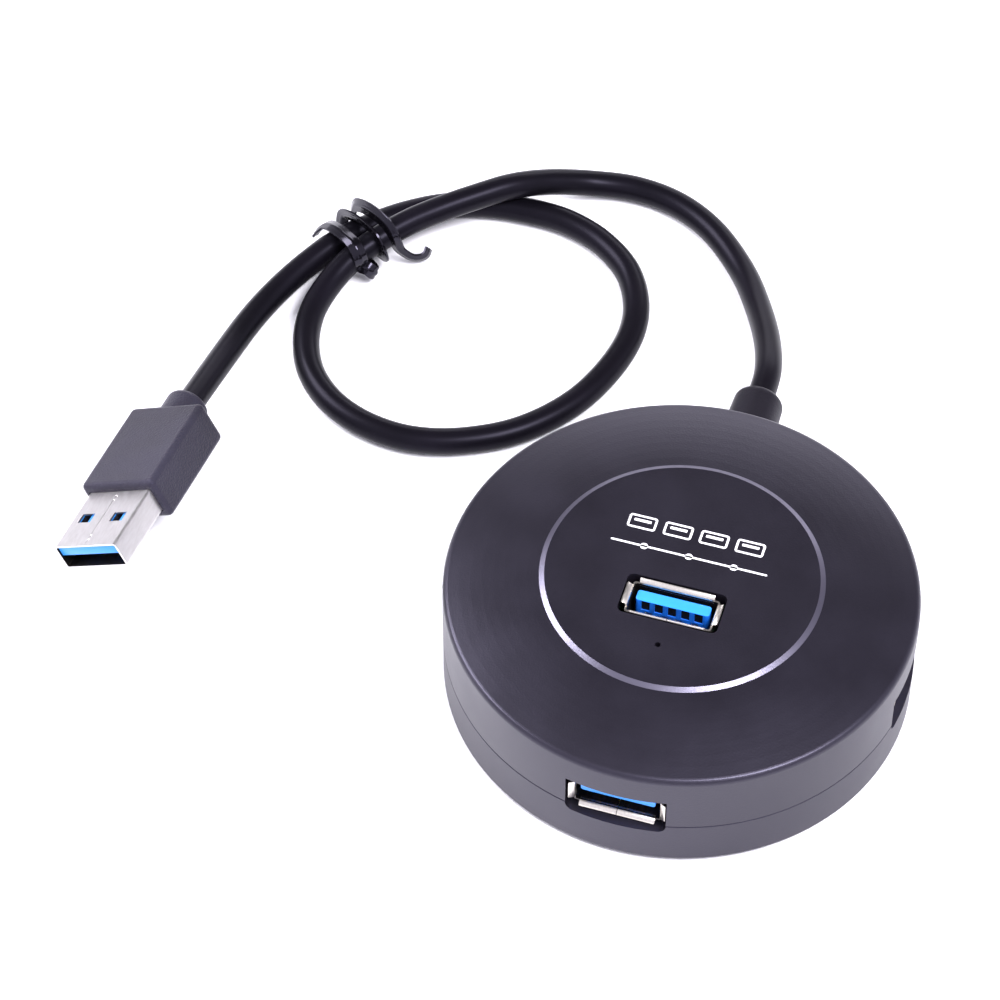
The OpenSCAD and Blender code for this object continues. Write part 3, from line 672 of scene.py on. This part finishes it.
# the mark on the lid: four little outlined sockets over a thin rule, pad printed
markSetup = {"top": 22.5, "raise": 0.018, "rowY": 7.7, "ruleY": 3.5, "rowWidth": 20.7, "ruleWidth": 23.7,
             "iconWidth": 4.3, "iconHeight": 2.5, "stroke": 0.32, "barInset": 0.85, "ruleHalf": 0.16, "dotHalf": 0.55,
             "dotPitch": 6.8}


def printedBlock(lowX, lowY, highX, highY, rounding):
    patch = addBlock((lowX, lowY, markSetup["top"] - 0.01), (highX, highY, markSetup["top"] + markSetup["raise"]))
    chooseEdges(patch, lambda middle, way: abs(way.z) > 0.9)
    bpy.ops.mesh.bevel(offset=rounding, segments=4)
    leaveEdit()
    return patch


markPieces = []
for index in range(4):
    x = (index - 1.5) * (markSetup["rowWidth"] - markSetup["iconWidth"]) / 3
    halfW, halfH, stroke = markSetup["iconWidth"] / 2, markSetup["iconHeight"] / 2, markSetup["stroke"]
    outline = printedBlock(x - halfW, markSetup["rowY"] - halfH, x + halfW, markSetup["rowY"] + halfH, 0.45)
    chooseFaces(outline, lambda centre, normal: abs(normal.z) > 0.9)
    bpy.ops.mesh.inset(thickness=stroke, use_individual=True)
    bpy.ops.mesh.bridge_edge_loops()
    leaveEdit()
    markPieces.append(outline)
    markPieces.append(printedBlock(x - halfW + markSetup["barInset"], markSetup["rowY"] + 0.05,
                                   x + halfW - markSetup["barInset"], markSetup["rowY"] + 0.5, 0.1))
ruleY, ruleHalf, dotHalf = markSetup["ruleY"], markSetup["ruleHalf"], markSetup["dotHalf"]
markPieces.append(printedBlock(-markSetup["ruleWidth"] / 2, ruleY - ruleHalf,
                               markSetup["ruleWidth"] / 2, ruleY + ruleHalf, 0.15))
for x in (-1, 0, 1):
    middle = x * markSetup["dotPitch"]
    markPieces.append(printedBlock(middle - dotHalf, ruleY - dotHalf, middle + dotHalf, ruleY + dotHalf, 0.5))
mark = joinUp(markPieces)
putInPlace(mark, "printedMark", None, Matrix.Identity(4), [])

# pad printing ink: thick, chalky white, thinner in tiny spots
whiteInk, tree, shader = startMaterial("padPrintInk", Roughness=0.5, IOR=1.48)
where = addNode(tree, "TexCoord")
speckle = addNode(tree, "TexNoise", {"Scale": 5200.0, "Detail": 3.0}, {"Vector": where.outputs["Object"]})
inkTone = addNode(tree, "ValToRGB", links={"Fac": speckle.outputs["Fac"]})
inkTone.color_ramp.elements[0].position, inkTone.color_ramp.elements[1].position = 0.28, 0.42
inkTone.color_ramp.elements[0].color = linearColour("#c9c9cd")
inkTone.color_ramp.elements[1].color = linearColour("#f4f4f6")
tree.links.new(inkTone.outputs["Color"], shader.inputs["Base Color"])
inkRelief = addNode(tree, "Bump", {"Strength": 0.3, "Distance": 0.000006}, {"Height": speckle.outputs["Fac"]})
tree.links.new(inkRelief.outputs["Normal"], shader.inputs["Normal"])
paint(mark, whiteInk)
print("mark printed")

# the plug, in its own frame: the lead enters at the origin and the open end points to -Y
plugSetup = {"at": (-85.3, 21.2, 6.4), "pitch": 3.5, "roll": 28, "turn": 4, "width": 14.2, "thickness": 7.4,
             "neckLength": 3.4, "length": 18.2, "edge": 0.95, "neckRadius": 3.5, "neckEnd": 0.7, "tipLength": 11.9,
             "tipWidth": 12.0, "tipHeight": 4.5, "sheet": 0.3, "inside": 5.0, "tipCorner": 0.55, "windowX": 3.1,
             "windowHalf": 1.2, "windowStart": 5.2, "windowEnd": 7.1, "seamHalf": 0.035, "seamDepth": 0.12,
             "stakeRadius": 0.26, "stakesFromTip": (1.3, 2.2), "stakesFromBody": (1.9, 1.0), "gap": 0.03,
             "coreHalfWidth": 5.65, "carrierLow": 0.1, "carrierHigh": 1.8, "pocketStart": 5.0, "pocketEnd": 7.3}
plugFront = -plugSetup["neckLength"] - plugSetup["length"]
plugMatrix = (Matrix.Translation(Vector(plugSetup["at"]) * mm)
              @ Matrix.Rotation(math.radians(-plugSetup["turn"]), 4, "Z")
              @ Matrix.Rotation(math.radians(-plugSetup["roll"]), 4, "Y")
              @ Matrix.Rotation(math.radians(-plugSetup["pitch"]), 4, "X"))


def makePlugBody():
    p = plugSetup
    body = addBlock((-p["width"] / 2, plugFront, -p["thickness"] / 2),
                    (p["width"] / 2, -p["neckLength"], p["thickness"] / 2))
    addModifier(body, "BEVEL", width=p["edge"], segments=5, limit_method="NONE")
    letGo()
    bpy.ops.mesh.primitive_cylinder_add(vertices=48, radius=p["neckRadius"], depth=p["neckLength"] + p["neckEnd"] + 2,
                                        location=(0, (p["neckEnd"] - p["neckLength"] - 2) / 2, 0),
                                        rotation=(math.pi / 2, 0, 0))
    neck = bpy.context.object
    bpy.ops.object.transform_apply(location=True, rotation=True, scale=True)
    chooseEdges(neck, lambda middle, way: middle.y > p["neckEnd"] - 0.05)
    bpy.ops.mesh.bevel(offset=1.0, segments=5)
    leaveEdit()
    combine(body, neck, "UNION")
    halfW, halfH = p["tipWidth"] / 2 + p["gap"], p["tipHeight"] / 2 + p["gap"]
    combine(body, addBlock((-halfW, plugFront - 1, -halfH), (halfW, plugFront + p["inside"] + 0.05, halfH)))
    smoothBy(body, 40)
    flattenShading(body)
    return body


def makePlugShell():
    p = plugSetup
    halfW, halfH, tip = p["tipWidth"] / 2, p["tipHeight"] / 2, plugFront - p["tipLength"]
    shell = addBlock((-halfW, tip, -halfH), (halfW, plugFront + p["inside"], halfH))
    chooseEdges(shell, lambda middle, way: abs(way.y) > 0.9)
    bpy.ops.mesh.bevel(offset=p["tipCorner"], segments=5)
    chooseFaces(shell, lambda centre, normal: abs(normal.y) > 0.9)
    bpy.ops.mesh.delete(type="FACE")
    leaveEdit()
    addModifier(shell, "SOLIDIFY", thickness=p["sheet"], offset=-1)
    for x in (-p["windowX"], p["windowX"]):
        combine(shell, addBlock((x - p["windowHalf"], tip + p["windowStart"], -halfH - 1),
                                (x + p["windowHalf"], tip + p["windowEnd"], halfH + 1)))
    # the folded sheet's seam, staked at two places
    combine(shell, addBlock((-p["seamHalf"], tip + 0.4, halfH - p["seamDepth"]),
                            (p["seamHalf"], plugFront, halfH + 1)))
    for y in [tip + y for y in p["stakesFromTip"]] + [plugFront - y for y in p["stakesFromBody"]]:
        letGo()
        bpy.ops.mesh.primitive_uv_sphere_add(segments=16, ring_count=10, radius=p["stakeRadius"],
                                             location=(0.12, y, halfH + 0.1))
        combine(shell, bpy.context.object)
    softenEdges(shell, 0.03, 2, 50)
    flattenShading(shell)
    # inward faces get the dark steel: painted shade
    giveSlots(shell, (plugNickel, insideShadeSteel), lambda face: 1 if facesInward(face)
              and abs(face.center.x) < halfW - 0.2 and abs(face.center.z) < halfH - 0.2 else 0)
    return shell


def makePlugCore():
    # the blue contact carrier above, with a pocket under each window, and a wall behind the open half painted near
    # black as painted shade
    p = plugSetup
    tip, halfW = plugFront - p["tipLength"], p["coreHalfWidth"]
    carrier = addBlock((-halfW, tip + 0.35, p["carrierLow"]), (halfW, plugFront + 0.2, p["carrierHigh"]))
    for x in (-p["windowX"], p["windowX"]):
        # each pocket has a wide deep half and a narrow shallow one
        for lowX, highX, lowZ in ((-1.25, 0.2, 0.9), (0.75, 1.25, 1.2)):
            combine(carrier, addBlock((x + lowX, tip + p["pocketStart"], lowZ), (x + highX, tip + p["pocketEnd"], 3)))
    softenEdges(carrier, 0.06)
    wall = addBlock((-halfW, plugFront - 2, -1.9), (halfW, plugFront + 4.9, 1.85))

    def carrierSlot(face):
        x, y, z = face.center
        # pocket faces are painted near black: painted shade
        if tip + 4.9 < y < tip + 7.4 and 0.5 < z < 1.72 and abs(x) < 5:
            return 2
        # front and top faces get the lighter blue copy: painted light
        return 1 if face.normal.y < -0.5 or z > 1.7 else 0

    giveSlots(carrier, tongueMaterials, carrierSlot)
    # the wall is painted near black: painted shade in the cavity
    giveSlots(wall, tongueMaterials, lambda face: 2)
    return joinUp([carrier, wall])


plugBody = putInPlace(makePlugBody(), "plugMoulding", plugPvc, plugMatrix, ["plug_body"])
plugShell = putInPlace(makePlugShell(), "plugSteelShell", None, plugMatrix, ["plug_shell"])
plugCore = putInPlace(makePlugCore(), "plugContactCarrier", None, plugMatrix, ["plug_insulator"])
print("plug built")

for nodeName, material in {
        "top_shell": casingAbs, "bottom_shell": lowerAbsPaintedLighter, "strain_relief": reliefPvc, "rubber_feet": footRubber,
        "case_screws": screwSteel, "hub_chip": chipEpoxy, "regulator": chipEpoxy, "hub_chip_leads": tinnedCopper,
        "regulator_leads": tinnedCopper, "led_leads": tinnedCopper, "crystal": canAluminium,
        "filter_capacitors": canAluminium, "small_capacitors": chipEpoxy, "small_resistors": chipEpoxy,
        "surge_protectors": chipEpoxy, "port_fuses": fuseCoat, "wire_solder": solderTin,
        "cable_tail": jacketPvc, "plug_contacts": goldContact, "circuit_board": solderMask,
        "inner_wires": wireJackets, "indicator_led": ledEpoxy}.items():
    dress(nodeName, material)
for side in ("top", "front", "right", "left"):
    dress(side + "_port_contacts", goldContact)
